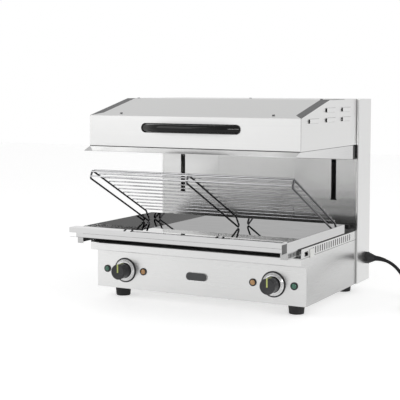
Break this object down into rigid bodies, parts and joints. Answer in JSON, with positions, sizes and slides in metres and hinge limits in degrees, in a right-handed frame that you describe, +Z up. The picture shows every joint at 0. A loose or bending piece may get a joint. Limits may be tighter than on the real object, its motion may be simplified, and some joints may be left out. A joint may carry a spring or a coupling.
{
  "type": "salamander grill",
  "caption": "Counter-top electric salamander grill: lift-top heated hood on a rear column over a tilting wire rack, a pull-out drip tray and a base with two dials.",
  "frame": {"origin": "centre of the footprint on the counter, cord left out, with the tray pulled forward and the hood up", "axes": "+X to the right, +Y to the back, +Z up; the front faces -Y"},
  "size_m": [0.9024, 0.5806, 0.5231],
  "materials": {
    "brushed_stainless": "satin",
    "polished_stainless": "polished",
    "dark_trim": "satin",
    "black_plastic": "matte",
    "knob_plastic": "satin",
    "dial_metal": "polished",
    "chromed_wire": "polished",
    "handle_plastic": "gloss",
    "element_steel": "matte",
    "plain_steel": "satin",
    "foot_rubber": "matte",
    "white_polymer": "matte",
    "bush_bronze": "satin",
    "weight_iron": "matte",
    "carriage_aluminium": "satin",
    "pulley_nylon": "matte",
    "mineral_wool": "matte",
    "regulator_plastic": "matte",
    "amber_lens": "gloss",
    "green_lens": "gloss",
    "badge_face": "gloss",
    "cord_rubber": "satin",
    "pin_brass": "polished"
  },
  "bodies": {
    "base": {"front_fascia": "brushed_stainless", "side_panels": "brushed_stainless", "slotted_rails": "brushed_stainless", "bottom_plate": "plain_steel", "base_deck": "plain_steel", "tray_glides": "white_polymer", "feet": "foot_rubber", "badge_plate": "badge_face", "dial_bases": "black_plastic", "dial_rings": "dial_metal", "regulators": "regulator_plastic", "lamp_bodies": "dial_metal", "amber_lenses": "amber_lens", "green_lenses": "green_lens", "tray_buffers": "foot_rubber", "column_front": "brushed_stainless", "column_shell": "brushed_stainless", "rear_cover": "brushed_stainless", "case_fasteners": "plain_steel", "guide_rods": "polished_stainless", "lift_brackets": "plain_steel", "weight_channels": "plain_steel", "hood_ropes": "plain_steel", "rope_wraps": "plain_steel", "weight_ropes": "plain_steel", "terminal_blocks": "regulator_plastic", "cord_gland": "black_plastic", "mains_cord": "cord_rubber", "cord_coil": "cord_rubber", "mains_plug": "black_plastic", "plug_pins": "pin_brass"},
    "hood": {"hood_front": "brushed_stainless", "hood_lid": "brushed_stainless", "hood_edge_strips": "dark_trim", "hood_sides": "brushed_stainless", "hood_back": "brushed_stainless", "reflector_skirt": "polished_stainless", "skirt_end_caps": "black_plastic", "reflector_plate": "polished_stainless", "heating_elements": "element_steel", "element_hangers": "plain_steel", "insulation_pads": "mineral_wool", "handle": "handle_plastic", "handle_rim": "black_plastic", "hood_screws": "plain_steel", "carriages": "carriage_aluminium", "carriage_bushes": "bush_bronze", "lift_arms": "plain_steel"},
    "tray": {"drip_tray": "brushed_stainless", "tray_carriers": "brushed_stainless"},
    "rack": {"rack_runners": "chromed_wire", "rack_cross_wires": "chromed_wire"},
    "knob_left": {"knob_left": "knob_plastic", "shaft_left": "plain_steel"},
    "knob_right": {"knob_right": "knob_plastic", "shaft_right": "plain_steel"},
    "weight_left": {"counterweight_left": "weight_iron"},
    "weight_right": {"counterweight_right": "weight_iron"},
    "pulley_left": {"pulley_left": "pulley_nylon"},
    "pulley_right": {"pulley_right": "pulley_nylon"}
  },
  "joints": [
    {"name": "hood_lift", "type": "slide", "parent": "base", "child": "hood", "axis": [0, 0, 1], "range_m": [-0.148, 0], "deforming": ["hood_ropes", "weight_ropes"]},
    {"name": "weight_slide_left", "type": "slide", "parent": "base", "child": "weight_left", "axis": [0, 0, 1], "range_m": [0, 0.148]},
    {"name": "weight_slide_right", "type": "slide", "parent": "base", "child": "weight_right", "axis": [0, 0, 1], "range_m": [0, 0.148]},
    {"name": "pulley_spin_left", "type": "hinge", "parent": "base", "child": "pulley_left", "pos_m": [-0.15, 0.24225, 0.484], "axis": [0, 1, 0], "range_deg": [-283, 0]},
    {"name": "pulley_spin_right", "type": "hinge", "parent": "base", "child": "pulley_right", "pos_m": [0.15, 0.24225, 0.484], "axis": [0, 1, 0], "range_deg": [0, 283]},
    {"name": "tray_slide", "type": "slide", "parent": "base", "child": "tray", "axis": [0, 1, 0], "range_m": [-0.05, 0.0697]},
    {"name": "rack_tilt", "type": "hinge", "parent": "tray", "child": "rack", "pos_m": [0, 0.08425, 0.18], "axis": [-1, 0, 0], "range_deg": [-26, 0]},
    {"name": "knob_turn_left", "type": "hinge", "parent": "base", "child": "knob_left", "pos_m": [-0.21, -0.15325, 0.077], "axis": [0, 1, 0], "range_deg": [0, 285]},
    {"name": "knob_turn_right", "type": "hinge", "parent": "base", "child": "knob_right", "pos_m": [0.21, -0.15325, 0.077], "axis": [0, 1, 0], "range_deg": [0, 285]}
  ],
  "couplings": [
    {"joint": "weight_slide_left", "follows": "hood_lift", "ratio": -1},
    {"joint": "weight_slide_right", "follows": "hood_lift", "ratio": -1},
    {"joint": "pulley_spin_left", "follows": "hood_lift", "rad_per_m": 33.333},
    {"joint": "pulley_spin_right", "follows": "hood_lift", "rad_per_m": -33.333},
    {"joint": "rack_tilt", "follows": "hood_lift", "rad_per_m": 3.0661}
  ]
}
